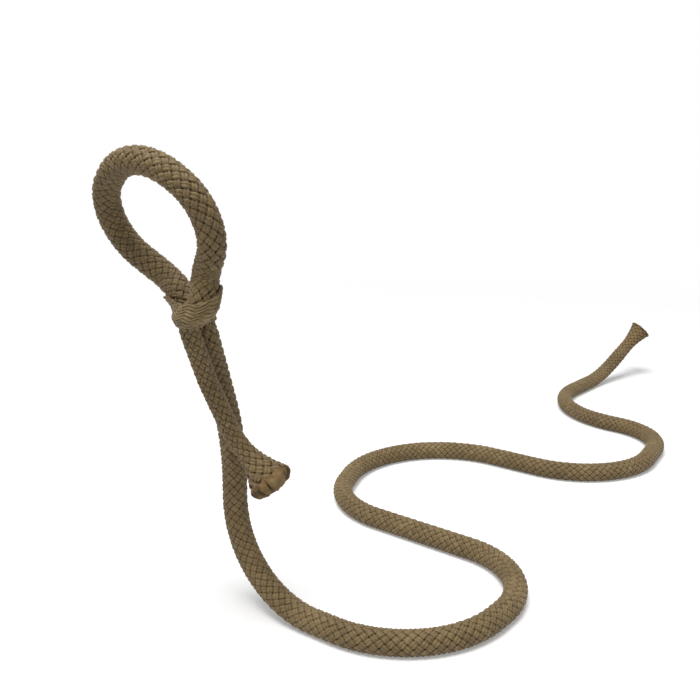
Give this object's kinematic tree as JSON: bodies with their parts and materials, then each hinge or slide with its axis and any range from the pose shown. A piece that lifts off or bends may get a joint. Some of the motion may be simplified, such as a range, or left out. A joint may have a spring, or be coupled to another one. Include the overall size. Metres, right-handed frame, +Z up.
{
  "type": "bottle stand",
  "caption": "Rope-look bottle stand: a stiff braided rope snakes over the table, rises and loops round a bottle's neck to hold it lying in the air.",
  "frame": {"origin": "on the table, under the middle of the object's bounding box", "axes": "+Z up, +X along the held bottle from its cap to its base, +Y to the far side of the neck loop from its loose tail"},
  "size_m": [0.4302, 0.1294, 0.1577],
  "materials": {
    "rod_steel": "drawn",
    "rope_braid": "matte",
    "collar_braid": "matte",
    "fused_ends": "satin"
  },
  "bodies": {
    "root": {"core_rod": "rod_steel", "loop_sleeve": "rope_braid", "stem_sleeve": "rope_braid", "foot_front_sleeve": "rope_braid", "foot_middle_sleeve": "rope_braid", "foot_back_sleeve": "rope_braid", "foot_lifted_sleeve": "rope_braid", "foot_end_flare": "rope_braid", "foot_end_rim": "fused_ends", "tail_sleeve": "rope_braid", "tail_end_flare": "rope_braid", "tail_end_cap": "fused_ends", "collar_band": "collar_braid"}
  },
  "joints": []
}
